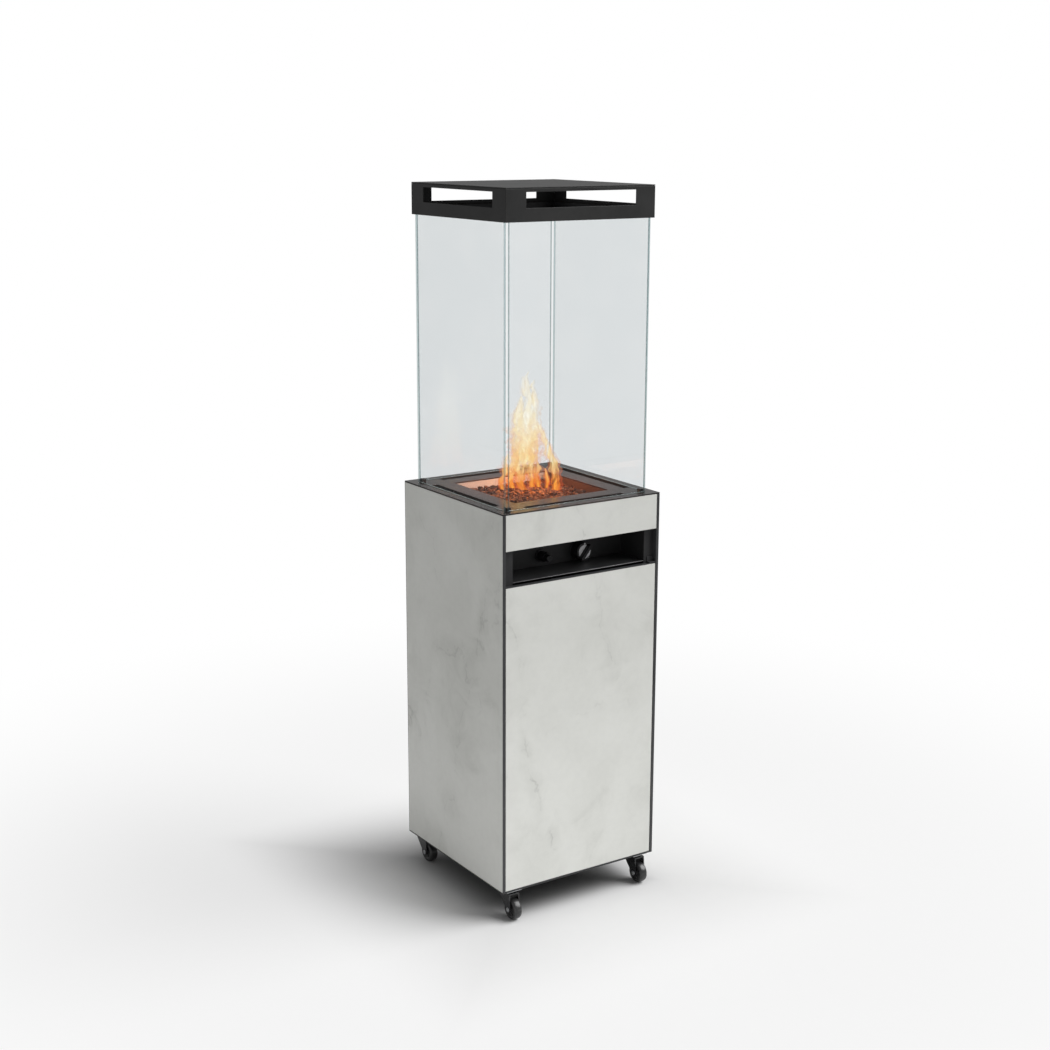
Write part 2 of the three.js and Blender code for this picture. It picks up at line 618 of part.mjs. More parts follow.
heater.add(meshOf("base_tray", baseTray(), blackSteel));
heater.add(meshOf("rear_frame", rearFrame(), blackSteel));
heater.add(meshOf("stone_panel_rear", rearStone(), stone));
heater.add(meshOf("front_frame", frontFrame(), blackSteel));
heater.add(meshOf("stone_panel_upper_front", upperFrontStone(), stone));
heater.add(meshOf("control_box", controlBox(), blackSteel));
heater.add(meshOf("top_plate", topPlate(), blackSteel));
heater.add(meshOf("burner_pan", burnerPan(), blackSteel));
heater.add(meshOf("lava_grate", lavaGrate(), zincSteel));
heater.add(meshOf("lava_bed", lavaBed(), lava));
heater.add(meshOf("burner_ring", burnerRing(), stainless));
heater.add(meshOf("heat_shield", heatShield(), zincSteel));
heater.add(meshOf("pilot_burner", pilotBurner(), stainless));
heater.add(meshOf("thermocouple", thermocouple(), brass));
heater.add(meshOf("spark_electrode", sparkElectrode(), stainless));
heater.add(meshOf("ignition_lead", ignitionLead(), rubber));
heater.add(meshOf("pilot_pipe", pilotPipe(), brass));
heater.add(meshOf("supply_pipe", supplyPipe(), brass));
heater.add(meshOf("gas_valve", gasValve(), brass));
heater.add(meshOf("inlet_nozzle", inletNozzle(), brass));
heater.add(meshOf("tilt_switch", tiltSwitch(), blackPlastic));
heater.add(meshOf("piezo_igniter", piezoBody(), blackPlastic));
heater.add(meshOf("igniter_bezel", igniterBezel(), blackPlastic));
heater.add(meshOf("igniter_button", igniterButton(), blackPlastic));
heater.add(meshOf("knob_bezel", knobBezel(), stainless));
heater.add(meshOf("valve_spindle", valveSpindle(), brass));
heater.add(meshOf("control_knob", controlKnob(), blackPlastic));
heater.add(meshOf("door_stone", doorStone(), stone));
heater.add(meshOf("door_backing", doorBacking(), edgeSteel));
heater.add(meshOf("hinge_bracket", hingeBracket(), edgeSteel));
heater.add(meshOf("door_magnet", doorMagnet(), blackPlastic));
heater.add(meshOf("hood_skirt", hoodSkirt(), blackSteel));
heater.add(meshOf("hood_lid", hoodLid(), blackSteel));
heater.add(meshOf("glass_retainer", glassRetainer(), blackSteel));

for (const [name, angle] of [["left", 0], ["right", Math.PI]]) {
  const side = new THREE.Group();
  side.rotation.z = angle;
  side.add(meshOf(`side_frame_${name}`, sideFrame(), edgeSteel));
  side.add(meshOf(`stone_panel_${name}`, sideStone(), stone));
  heater.add(side);
}

["front", "right", "rear", "left"].forEach((name, quarter) => {
  const pane = meshOf(`glass_${name}`, glassPane(), finishes.glass);
  pane.rotation.z = (quarter * Math.PI) / 2;
  heater.add(pane);
});

for (const [name, x, y] of [["front_left", -1, -1], ["front_right", 1, -1], ["rear_left", -1, 1],
  ["rear_right", 1, 1]]) {
  const caster = new THREE.Group();
  caster.position.set(x * swivel.x, y * swivel.y, 0);
  caster.add(meshOf(`caster_plate_${name}`, casterPlate(), zincSteel));
  caster.add(meshOf(`caster_fork_${name}`, casterFork(), blackPlastic));
  const pinned = meshOf(`caster_axle_${name}`, casterAxle(), zincSteel);
  const rolling = meshOf(`caster_wheel_${name}`, casterWheel(), rubber);
  pinned.position.set(0, -wheel.trail, wheel.radius);
  rolling.position.copy(pinned.position);
  caster.add(pinned, rolling);
  heater.add(caster);
}

export default heater;
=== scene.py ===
import math
import random

import bpy
from mathutils import Matrix, Vector, noise


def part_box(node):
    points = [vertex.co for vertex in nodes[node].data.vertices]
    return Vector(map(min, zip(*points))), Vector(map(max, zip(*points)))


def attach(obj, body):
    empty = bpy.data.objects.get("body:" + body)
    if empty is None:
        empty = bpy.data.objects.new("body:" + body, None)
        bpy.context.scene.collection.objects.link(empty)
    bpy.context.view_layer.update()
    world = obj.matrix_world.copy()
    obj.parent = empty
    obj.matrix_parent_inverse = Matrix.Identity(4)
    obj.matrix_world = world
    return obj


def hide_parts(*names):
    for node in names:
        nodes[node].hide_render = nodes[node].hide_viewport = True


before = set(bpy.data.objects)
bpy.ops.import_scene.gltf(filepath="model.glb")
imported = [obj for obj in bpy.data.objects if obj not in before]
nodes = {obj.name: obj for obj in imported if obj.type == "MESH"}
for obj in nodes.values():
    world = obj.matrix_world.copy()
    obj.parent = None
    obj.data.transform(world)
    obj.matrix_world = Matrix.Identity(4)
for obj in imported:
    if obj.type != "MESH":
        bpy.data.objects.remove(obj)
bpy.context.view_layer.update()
mm = 0.001
print("frame loaded with", len(nodes), "nodes")

# Where the main faces are, read from the frame
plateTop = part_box("top_plate")[1].z
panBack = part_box("burner_pan")[1].y
bedLow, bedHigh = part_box("lava_bed")
knobLow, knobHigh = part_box("control_knob")
bezelLow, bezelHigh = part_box("igniter_bezel")
buttonLow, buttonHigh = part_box("igniter_button")
casterNames = ["front_left", "front_right", "rear_left", "rear_right"]


# Camera, stage and light
cameraSetup = {
    "place": (-2.1581, -3.2251, 1.7952),
    "heading": 33.608,  # degrees from +Y towards +X
    "down": 13.398,
    "roll": 0.195,
    "lens": 58.17,
}
lightSetup = {
    "skyFill": 0.25,
    "skyShine": 0.42,
    "floorNear": 1.30,
    "floorFill": 0.60,
    "floorShine": 0.20,
    "sunPower": 2.85,
    "sunFrom": (0.86, -0.52, 0.95),
    "sunSpread": 46,  # degrees across
    "fireColour": (1.0, 0.40, 0.16),
    "firePower": 1.7,
    "firePlace": (0, 0.01, 0.07),  # over the top plate
    "fireSize": 0.05,
}
# Distances from the middle, in metres, between which the floor's tones change
floorLook = {
    "nearRing": (0.20, 0.62),
    "nearShare": 0.66,
    "farRing": (0.75, 2.3),
    "fillRing": (0.6, 1.6),
    "footprint": (0.13, 0.24),
    # colour of the painted contact shadow under the cabinet
    "paintedShadow": (0.30, 0.30, 0.30),
    "specks": ((0.82, 0.82, 0.82), (0.84, 0.84, 0.84)),
}


def aimCamera(setup):
    lens = bpy.data.cameras.new("studioCamera")
    lens.lens = setup["lens"]
    lens.sensor_width = 36
    lens.clip_start = 0.05
    lens.clip_end = 200
    camera = bpy.data.objects.new("studioCamera", lens)
    bpy.context.scene.collection.objects.link(camera)
    turn = Matrix.Rotation(math.radians(-setup["heading"]), 4, "Z")
    tilt = Matrix.Rotation(math.radians(90 - setup["down"]), 4, "X")
    roll = Matrix.Rotation(math.radians(setup["roll"]), 4, "Z")
    camera.matrix_world = Matrix.Translation(setup["place"]) @ turn @ tilt @ roll
    bpy.context.scene.camera = camera


aimCamera(cameraSetup)
bpy.context.scene.view_settings.view_transform = "Standard"
bpy.context.scene.cycles.transparent_max_bounces = 48  # panes and flames lie many layers deep
print("camera placed")


# A socket that Python sums turn into Math nodes
class Wire:
    def __init__(self, recipe, socket):
        self.recipe = recipe
        self.socket = socket

    def sum(self, operation, first, second=0.0):
        return self.recipe.add("ShaderNodeMath", {"operation": operation}, {0: first, 1: second})

    def __add__(self, other):
        return self.sum("ADD", self, other)

    def __radd__(self, other):
        return self.sum("ADD", other, self)

    def __sub__(self, other):
        return self.sum("SUBTRACT", self, other)

    def __rsub__(self, other):
        return self.sum("SUBTRACT", other, self)

    def __mul__(self, other):
        return self.sum("MULTIPLY", self, other)

    def __pow__(self, other):
        return self.sum("POWER", self, other)

    def __abs__(self):
        return self.sum("ABSOLUTE", self)


# The node tree of one finish, filled by one method
class Recipe:
    def __init__(self, name, owner=None):
        self.owner = owner or bpy.data.materials.new(name)
        self.owner.use_nodes = True
        self.tree = self.owner.node_tree
        self.tree.nodes.clear()

    def add(self, kind, settings=None, sockets=None, output=0):
        made = self.tree.nodes.new(kind)
        for name, value in (settings or {}).items():
            if name == "stops":
                self.setStops(made.color_ramp, value)
            else:
                setattr(made, name, value)
        for name, value in (sockets or {}).items():
            self.feed(made.inputs[name], value)
        return Wire(self, made.outputs[output]) if made.outputs else None

    def feed(self, socket, value):
        if isinstance(value, Wire):
            self.tree.links.new(value.socket, socket)
        elif socket.type == "RGBA":
            socket.default_value = (*value, 1)
        else:
            socket.default_value = value

    def setStops(self, ramp, stops):
        while len(ramp.elements) < len(stops):
            ramp.elements.new(1)
        for element, (at, colour) in zip(ramp.elements, stops):
            element.position = at
            element.color = (*colour, 1)

    # object coordinates are the same as the frame's, in metres
    def place(self):
        return self.add("ShaderNodeTexCoord", output=3)

    def axis(self, vector, name):
        return self.add("ShaderNodeSeparateXYZ", None, {0: vector}, "XYZ".index(name))

    def grain(self, scale, detail=3, rough=0.5, warp=0, at=None):
        return self.add("ShaderNodeTexNoise", None, {"Vector": at or self.place(), "Scale": scale,
                                                     "Detail": detail, "Roughness": rough,
                                                     "Distortion": warp})

    def cells(self, scale, output=0):
        return self.add("ShaderNodeTexVoronoi", None, {"Vector": self.place(), "Scale": scale}, output)

    def stretched(self, factors):
        return self.add("ShaderNodeVectorMath", {"operation": "MULTIPLY"}, {0: self.place(), 1: factors})

    def fade(self, value, start, end, low=0.0, high=1.0):
        return self.add("ShaderNodeMapRange", {"interpolation_type": "SMOOTHSTEP"},
                        {"Value": value, "From Min": start, "From Max": end, "To Min": low, "To Max": high})

    def ramp(self, value, stops):
        return self.add("ShaderNodeValToRGB", {"stops": stops}, {0: value})

    def tint(self, factor, first, second):
        return self.add("ShaderNodeMix", {"data_type": "RGBA"}, {0: factor, 6: first, 7: second}, 2)

    def length(self, vector):
        return self.add("ShaderNodeVectorMath", {"operation": "LENGTH"}, {0: vector}, 1)

    def bump(self, height, strength, depth):
        return self.add("ShaderNodeBump", None, {"Height": height, "Strength": strength, "Distance": depth})

    def body(self, **sockets):
        named = {name.replace("_", " "): value for name, value in sockets.items()}
        return self.add("ShaderNodeBsdfPrincipled", None, named)

    def done(self, shader):
        self.add("ShaderNodeOutputMaterial", None, {"Surface": shader})
        return self.owner


def lightStudio(setup):
    scene = bpy.context.scene
    scene.world = bpy.data.worlds.new("studioSky")
    sky = Recipe("studioSky", scene.world)
    seen = sky.add("ShaderNodeLightPath", output=0)
    shiny = sky.add("ShaderNodeLightPath", output=3)
    soft = setup["skyFill"] + shiny * (setup["skyShine"] - setup["skyFill"])
    power = soft + seen * (1 - soft)
    light = sky.add("ShaderNodeBackground", None, {"Color": (1, 1, 1), "Strength": power})
    sky.add("ShaderNodeOutputWorld", None, {"Surface": light})
    sun = bpy.data.lights.new("keyLight", "SUN")
    sun.energy = setup["sunPower"]
    sun.angle = math.radians(setup["sunSpread"])
    lamp = bpy.data.objects.new("keyLight", sun)
    lamp.rotation_euler = Vector(setup["sunFrom"]).to_track_quat("Z", "Y").to_euler()
    scene.collection.objects.link(lamp)
    fire = bpy.data.lights.new("fireGlow", "POINT")
    fire.energy = setup["firePower"]
    fire.color = setup["fireColour"]
    fire.shadow_soft_size = setup["fireSize"]
    glow = bpy.data.objects.new("fireGlow", fire)
    glow.location = Vector(setup["firePlace"]) + Vector((0, 0, plateTop))
    glow.visible_glossy = False
    scene.collection.objects.link(glow)


# Painted contact shadow under the cabinet, lit near it, and as pale as the background farther out
def floorFinish(setup):
    recipe = Recipe("studioFloor")
    flat = recipe.add("ShaderNodeVectorMath", {"operation": "ABSOLUTE"}, {0: recipe.place()})
    wide = recipe.add("ShaderNodeMath", {"operation": "MAXIMUM"}, {0: recipe.axis(flat, "X"),
                                                                   1: recipe.axis(flat, "Y")})
    near = recipe.fade(wide, *floorLook["nearRing"]) * floorLook["nearShare"]
    spread = recipe.length(recipe.place())
    far = recipe.fade(spread, *floorLook["farRing"])
    share = near + (1 - near) * far
    seen = recipe.add("ShaderNodeLightPath", output=0)
    shiny = recipe.add("ShaderNodeLightPath", output=3)
    soft = setup["floorFill"] + shiny * (setup["floorShine"] - setup["floorFill"])
    away = recipe.fade(spread, *floorLook["fillRing"])
    power = seen + (1 - seen) * (setup["floorNear"] - away * (setup["floorNear"] - soft))
    speck = recipe.grain(30, 4)
    paint = recipe.tint(speck, *floorLook["specks"])
    # painted contact shadow: the floor paint turns dark under the cabinet's footprint
    paint = recipe.tint(recipe.fade(wide, *floorLook["footprint"]), floorLook["paintedShadow"], paint)
    matt = recipe.body(Base_Color=paint, Roughness=0.9, Specular_IOR_Level=0.1)
    bright = recipe.add("ShaderNodeEmission", None, {"Color": (1, 1, 1), "Strength": power})
    return recipe.done(recipe.add("ShaderNodeMixShader", None, {0: share, 1: matt, 2: bright}))


def layFloor():
    reach = 60
    mesh = bpy.data.meshes.new("studioFloor")
    corners = [(-reach, -reach, 0), (reach, -reach, 0), (reach, reach, 0), (-reach, reach, 0)]
    mesh.from_pydata(corners, [], [(0, 1, 2, 3)])
    floor = bpy.data.objects.new("studioFloor", mesh)
    mesh.materials.append(floorFinish(lightSetup))
    bpy.context.scene.collection.objects.link(floor)


lightStudio(lightSetup)
layFloor()
print("stage and lights set")


# Stone colours, from clear slab to vein
stoneLook = {
    "pale": (0.700, 0.706, 0.668),
    "light": (0.762, 0.768, 0.732),
    "cloud": (0.590, 0.596, 0.560),
    "vein": (0.470, 0.474, 0.448),
}
# Each vein is a wavy plane through the slab: direction, distance, width, halo and strength
stoneVeins = [
    {"across": (0.96, 0.20, 0.19), "at": -0.098, "width": 0.0040, "halo": 0.034, "strength": 0.66},
    {"across": (0.90, -0.30, 0.30), "at": 0.330, "width": 0.0036, "halo": 0.050, "strength": 0.48},
    {"across": (-0.35, 0.90, 0.26), "at": 0.150, "width": 0.0036, "halo": 0.050, "strength": 0.40},
    {"across": (0.30, 0.80, -0.52), "at": -0.420, "width": 0.0030, "halo": 0.060, "strength": 0.32},
]


def stoneFinish():
    recipe = Recipe("stoneCladding")
    drift = recipe.grain(3.4, 5, 0.55, 0.6)
    patch = recipe.grain(7.5, 6, 0.62, 1.2)
    fine = recipe.grain(60, 5, 0.6)
    wobble = recipe.grain(5.0, 5, 0.6)
    jitter = recipe.grain(34, 4, 0.6)
    bend = (wobble - 0.5) * 0.16 + (jitter - 0.5) * 0.014
    colour = recipe.tint(recipe.fade(drift, 0.36, 0.66), stoneLook["light"], stoneLook["pale"])
    cloudy = recipe.fade(patch, 0.50, 0.74) * recipe.fade(drift, 0.40, 0.62) * 0.62
    colour = recipe.tint(cloudy, colour, stoneLook["cloud"])
    dips = recipe.fade(fine, 0.35, 0.7)
    for vein in stoneVeins:
        along = recipe.add("ShaderNodeVectorMath", {"operation": "DOT_PRODUCT"},
                           {0: recipe.place(), 1: vein["across"]}, 1)
        away = abs(along - vein["at"] + bend)
        broken = recipe.fade(patch, 0.44, 0.66) * recipe.fade(fine, 0.28, 0.56, 0.35, 1.0)
        halo = recipe.fade(away, vein["halo"], 0.0) * recipe.fade(patch, 0.34, 0.62)
        line = recipe.fade(away, vein["width"], 0.0) * broken
        colour = recipe.tint(halo * (vein["strength"] * 0.55), colour, stoneLook["cloud"])
        colour = recipe.tint(line * vein["strength"], colour, stoneLook["vein"])
    smudge = recipe.fade(recipe.grain(16, 6, 0.7, 0.8), 0.58, 0.78) * recipe.fade(drift, 0.42, 0.60)
    colour = recipe.tint(smudge * 0.35, colour, stoneLook["cloud"])
    colour = recipe.tint(dips * 0.06, colour, stoneLook["vein"])
    rough = 0.40 + fine * 0.16
    normal = recipe.bump(fine + patch * 0.5, 0.10, 0.0006)
    return recipe.done(recipe.body(Base_Color=colour, Roughness=rough, Normal=normal,
                                   Specular_IOR_Level=0.35))


# Powder coat: a fine orange peel whose raised points are painted a little paler, a painted sheen
def coatFinish(name, dark, light, rough, sheen=0.5, metal=0.0):
    recipe = Recipe(name)
    skin = recipe.grain(900, 2, 0.5)
    haze = recipe.grain(11, 4, 0.6)
    colour = recipe.tint(recipe.fade(haze, 0.35, 0.7), dark, light)
    # painted sheen: the raised points of the peel are tinted towards the lighter tone
    colour = recipe.tint(recipe.fade(skin, 0.62, 0.8) * 0.25, colour, light)
    gloss = rough + (haze - 0.5) * 0.14
    normal = recipe.bump(skin, 0.25, 0.00012)
    return recipe.done(recipe.body(Base_Color=colour, Roughness=gloss, Metallic=metal, Normal=normal,
                                   Specular_IOR_Level=sheen))


# Top plate and pan: powder coat with painted firelight, a warm brown reflection of the fire around the
# burner
def smokeAndFirelightFinish(name, cool, firelitTint, smoke, rough, reach, sheen=0.5):
    recipe = Recipe(name)
    spread = recipe.length(recipe.stretched((1, 1, 0)))
    haze = recipe.grain(14, 5, 0.6)
    skin = recipe.grain(700, 2)
    # painted reflection of the fire: the plate turns warm brown nearer the burner
    firelightShare = recipe.fade(spread + (haze - 0.5) * 0.05, *reach)
    colour = recipe.tint(firelightShare, cool, firelitTint)
    colour = recipe.tint(recipe.fade(haze, 0.5, 0.8) * 0.3, colour, smoke)
    normal = recipe.bump(skin, 0.2, 0.0001)
    gloss = rough + (haze - 0.5) * 0.18
    return recipe.done(recipe.body(Base_Color=colour, Roughness=gloss, Normal=normal,
                                   Specular_IOR_Level=sheen))


# Pan: the wall behind the fire is painted near white as painted firelight, the rest is sooted
firelitWallFrom = (panBack - 24.5 * mm, panBack - 21.5 * mm)


def sootAndFirelightFinish(name, firelitWall, soot, rust):
    recipe = Recipe(name)
    haze = recipe.grain(30, 4, 0.6)
    behind = recipe.axis(recipe.place(), "Y") + (haze - 0.5) * 0.006
    # painted firelight: the wall behind the fire is painted near white and partly metallic
    bright = recipe.fade(behind, *firelitWallFrom)
    tone = recipe.tint(bright * 0.9, recipe.tint(haze, soot, rust), firelitWall)
    normal = recipe.bump(haze, 0.15, 0.0004)
    return recipe.done(recipe.body(Base_Color=tone, Metallic=bright * 0.35, Roughness=0.38 + haze * 0.15,
                                   Normal=normal))


# Bare metal with a brushed or cast skin
def metalFinish(name, colour, stain, rough, brushed=(1, 1, 1), brushScale=300, spangle=0.0, bare=1.0):
    recipe = Recipe(name)
    lines = recipe.grain(brushScale, 4, 0.6, 0, recipe.stretched(brushed))
    haze = recipe.grain(18, 4, 0.6)
    tone = recipe.tint(recipe.fade(haze, 0.35, 0.75), colour, stain)
    gloss = rough + (lines - 0.5) * 0.18
    if spangle:
        flake = recipe.axis(recipe.cells(140, output=1), "X")
        tone = recipe.tint(flake * spangle, tone, stain)
        gloss = gloss + (flake - 0.5) * 0.16
    normal = recipe.bump(lines, 0.12, 0.00015)
    return recipe.done(recipe.body(Base_Color=tone, Metallic=bare, Roughness=gloss, Normal=normal))


def plasticFinish(name, colour, worn, rough, texture=500, coat=0.0):
    recipe = Recipe(name)
    skin = recipe.grain(texture, 3, 0.6)
    haze = recipe.grain(25, 3, 0.6)
    tone = recipe.tint(recipe.fade(haze, 0.4, 0.75) * 0.6, colour, worn)
    gloss = rough + (skin - 0.5) * 0.12 + (haze - 0.5) * 0.1
    normal = recipe.bump(skin, 0.18, 0.0001)
    return recipe.done(recipe.body(Base_Color=tone, Roughness=gloss, Normal=normal, Coat_Weight=coat,
                                   Coat_Roughness=0.12))


# Each pair is a deep and a clear tone
glassLook = {
    "through": ((0.944, 0.954, 0.957), (0.952, 0.960, 0.962)),
    "mirror": ((0.93, 0.95, 0.95), (0.97, 0.98, 0.98)),
    "edge": ((0.20, 0.27, 0.28), (0.34, 0.42, 0.43)),
    "edgeThrough": ((0.66, 0.77, 0.78), (0.78, 0.86, 0.87)),
}


def glassFinish():
    recipe = Recipe("clearGlass")
    smear = recipe.grain(6, 4, 0.6)
    slant = recipe.add("ShaderNodeLayerWeight", None, {"Blend": 0.5}, 1)
    shine = slant ** 5 * 0.9 + 0.035
    through = recipe.tint(recipe.fade(smear, 0.4, 0.7), *glassLook["through"])
    clear = recipe.add("ShaderNodeBsdfTransparent", None, {"Color": through})
    gloss = recipe.body(Base_Color=recipe.tint(smear, *glassLook["mirror"]), Metallic=1.0,
                        Roughness=0.02 + smear * 0.03)
    return recipe.done(recipe.add("ShaderNodeMixShader", None, {0: shine, 1: clear, 2: gloss}))


def glassEdgeFinish():
    recipe = Recipe("glassEdge")
    ground = recipe.grain(240, 3, 0.6, 0, recipe.stretched((1, 1, 0.1)))
    slant = recipe.add("ShaderNodeLayerWeight", None, {"Blend": 0.5}, 1)
    tone = recipe.tint(ground, *glassLook["edge"])
    through = recipe.tint(ground, *glassLook["edgeThrough"])
    clear = recipe.add("ShaderNodeBsdfTransparent", None, {"Color": through})
    gloss = recipe.body(Base_Color=tone, Roughness=0.10 + ground * 0.2, Specular_IOR_Level=0.8)
    share = recipe.fade(slant, 0.1, 0.9, 0.28, 0.75)
    return recipe.done(recipe.add("ShaderNodeMixShader", None, {0: share, 1: clear, 2: gloss}))


lavaLook = {
    "stones": [(0.0, (0.034, 0.014, 0.008)), (0.45, (0.100, 0.036, 0.018)),
               (0.8, (0.180, 0.066, 0.030)), (1.0, (0.27, 0.15, 0.09))],
    "dust": (0.030, 0.020, 0.016),
    # colour, ring and strength of the painted firelight on the stones near the flames
    "paintedFirelight": (0.80, 0.20, 0.04),
    "paintedFirelightRing": (0.15, 0.02),
    "paintedFirelightPower": 0.9,
}


def lavaFinish():
    recipe = Recipe("lavaStone")
    lump = recipe.add("ShaderNodeNewGeometry", output=8)
    pores = recipe.cells(420)
    dust = recipe.grain(90, 4, 0.7)
    tone = recipe.ramp(lump, lavaLook["stones"])
    tone = recipe.tint(recipe.fade(dust, 0.45, 0.75) * 0.5, tone, lavaLook["dust"])
    # painted firelight: stones near the flames glow orange
    near = recipe.fade(recipe.length(recipe.stretched((1, 1, 0))), *lavaLook["paintedFirelightRing"])
    paintedFirelight = recipe.fade(recipe.grain(60, 4, 0.7, 0.6), 0.50, 0.68) * near
    glow = recipe.tint(paintedFirelight, (0, 0, 0), lavaLook["paintedFirelight"])
    normal = recipe.bump(pores, 0.7, 0.0012)
    return recipe.done(recipe.body(Base_Color=tone, Roughness=0.86 - dust * 0.1, Normal=normal,
                                   Emission_Color=glow, Emission_Strength=lavaLook["paintedFirelightPower"]))


# A tongue's colour runs from orange at its foot to pale yellow, and it thins out in streaks
def flameFinish(name, foot, middle, tip, thick, thin, power):
    recipe = Recipe(name)
    height = recipe.axis(recipe.place(), "Z") - plateTop
    streak = recipe.grain(48, 4, 0.6, 1.4, recipe.stretched((1, 1, 0.30)))
    wisp = recipe.grain(120, 3, 0.6, 0.8, recipe.stretched((1, 1, 0.20)))
    climb = height + (streak - 0.5) * 0.07
    colour = recipe.tint(recipe.fade(climb, 0.0, 0.055), foot, middle)
    colour = recipe.tint(recipe.fade(climb, 0.05, 0.17), colour, tip)
    body = recipe.fade(streak, 0.42, 0.58) * 0.7 + recipe.fade(wisp, 0.44, 0.60) * 0.3
    cover = body * (thick - thin) + thin
    cover = cover * recipe.fade(height + (streak - 0.5) * 0.12, 0.285, 0.14, 0.25, 1.0)
    light = recipe.add("ShaderNodeEmission", None, {"Color": colour, "Strength": power})
    clear = recipe.add("ShaderNodeBsdfTransparent", None, {"Color": (1, 1, 1)})
    return recipe.done(recipe.add("ShaderNodeMixShader", None, {0: cover, 1: clear, 2: light}))


stone = stoneFinish()
hoodCoat = coatFinish("hoodCoat", (0.027, 0.027, 0.027), (0.036, 0.036, 0.036), 0.44, 0.26)
blackCoat = coatFinish("blackCoat", (0.023, 0.023, 0.024), (0.033, 0.033, 0.034), 0.42, 0.5)
edgeCoat = coatFinish("edgeCoat", (0.040, 0.041, 0.043), (0.052, 0.053, 0.055), 0.42, 0.4)
# paler than the black coat: a painted highlight along the lit front edge of the niche floor
hemHighlight = coatFinish("hemHighlight", (0.09, 0.09, 0.093), (0.15, 0.15, 0.155), 0.34, 0.5, metal=0.4)
# its second colour is the painted firelight around the burner
trayCoat = smokeAndFirelightFinish("trayCoat", (0.020, 0.018, 0.018), (0.070, 0.036, 0.028), (0.10, 0.075, 0.06),
                          0.20, (0.30, 0.10))
# the near white first colour is painted firelight on the wall behind the fire
panSteel = sootAndFirelightFinish("panSteel", (0.90, 0.88, 0.88), (0.085, 0.050, 0.040), (0.14, 0.075, 0.055))
zinc = metalFinish("zincSteel", (0.56, 0.57, 0.58), (0.40, 0.41, 0.42), 0.36, spangle=0.5)
stainless = metalFinish("stainless", (0.66, 0.64, 0.61), (0.50, 0.44, 0.38), 0.28, (1, 1, 0.1))
# near white and barely metallic: the knob's chrome faces are painted bright as a painted reflection
paintedChromeReflection = metalFinish("chromePaintedReflection", (0.93, 0.93, 0.94), (0.86, 0.86, 0.87), 0.22, (1, 0.05, 1), 500,
                     bare=0.05)
brass = metalFinish("brass", (0.72, 0.52, 0.24), (0.48, 0.32, 0.14), 0.30)
knobPlastic = plasticFinish("knobPlastic", (0.012, 0.012, 0.013), (0.022, 0.022, 0.023), 0.30)
blackPlastic = plasticFinish("blackPlastic", (0.014, 0.014, 0.015), (0.026, 0.026, 0.027), 0.42)
casterPlastic = plasticFinish("casterPlastic", (0.012, 0.012, 0.013), (0.024, 0.024, 0.025), 0.26, 300, 0.3)
casterRubber = plasticFinish("casterRubber", (0.017, 0.017, 0.018), (0.045, 0.044, 0.042), 0.34, 260, 0.25)
pointerPaint = plasticFinish("pointerPaint", (0.84, 0.84, 0.83), (0.74, 0.74, 0.72), 0.35)
clearGlass = glassFinish()
glassEdge = glassEdgeFinish()
lava = lavaFinish()
# Foot, middle and tip colours of each layer, its thickest and thinnest cover, and its brightness
flameVeil = flameFinish("flameVeil", (1.0, 0.14, 0.04), (1.0, 0.36, 0.16), (1.0, 0.74, 0.52),
                        0.18, 0.0, 1.0)
flameBody = flameFinish("flameBody", (1.0, 0.28, 0.03), (1.0, 0.66, 0.24), (1.0, 0.88, 0.58),
                        0.62, 0.0, 1.05)
flameCore = flameFinish("flameCore", (1.0, 0.42, 0.06), (1.0, 0.90, 0.50), (1.0, 0.98, 0.86),
                        0.92, 0.05, 1.15)
print("finishes mixed")


# Frame nodes that stay: finish, edge width in mm and names
nodeFinishes = [
    (stone, 0.5, ["stone_panel_left", "stone_panel_right", "stone_panel_rear", "stone_panel_upper_front",
                  "door_stone"]),
    (edgeCoat, 0.35, ["side_frame_left", "side_frame_right", "door_backing", "hinge_bracket"]),
    (blackCoat, 0.35, ["base_tray", "rear_frame", "front_frame", "control_box"]),
    (hoodCoat, 0.7, ["hood_skirt", "hood_lid"]),
    (blackCoat, 0.4, ["glass_retainer"]),
    (trayCoat, 0.4, ["top_plate"]),
    (panSteel, 0.4, ["burner_pan"]),
    (zinc, 0.25, ["lava_grate", "heat_shield"] + ["caster_plate_" + name for name in casterNames]),
    (stainless, 0.3, ["burner_ring", "pilot_burner", "spark_electrode"]),
    (brass, 0.4, ["thermocouple", "pilot_pipe", "supply_pipe", "gas_valve", "inlet_nozzle",
                  "valve_spindle"]),
    (blackPlastic, 0.4, ["ignition_lead", "tilt_switch", "piezo_igniter", "door_magnet"]),
    (casterPlastic, 0.7, ["caster_fork_" + name for name in casterNames]),
]


def easeEdges(piece, width):
    weld = piece.modifiers.new("joinedFaces", "WELD")
    weld.merge_threshold = 0.02 * mm
    bevel = piece.modifiers.new("easedEdges", "BEVEL")
    bevel.width = width * mm
    bevel.segments = 2
    bevel.limit_method = "ANGLE"
    bevel.angle_limit = math.radians(40)
    bevel.use_clamp_overlap = True
    bevel.harden_normals = False


for finish, width, names in nodeFinishes:
    for name in names:
        for slot in nodes[name].material_slots:
            slot.material = finish
        easeEdges(nodes[name], width)
print("frame nodes finished")


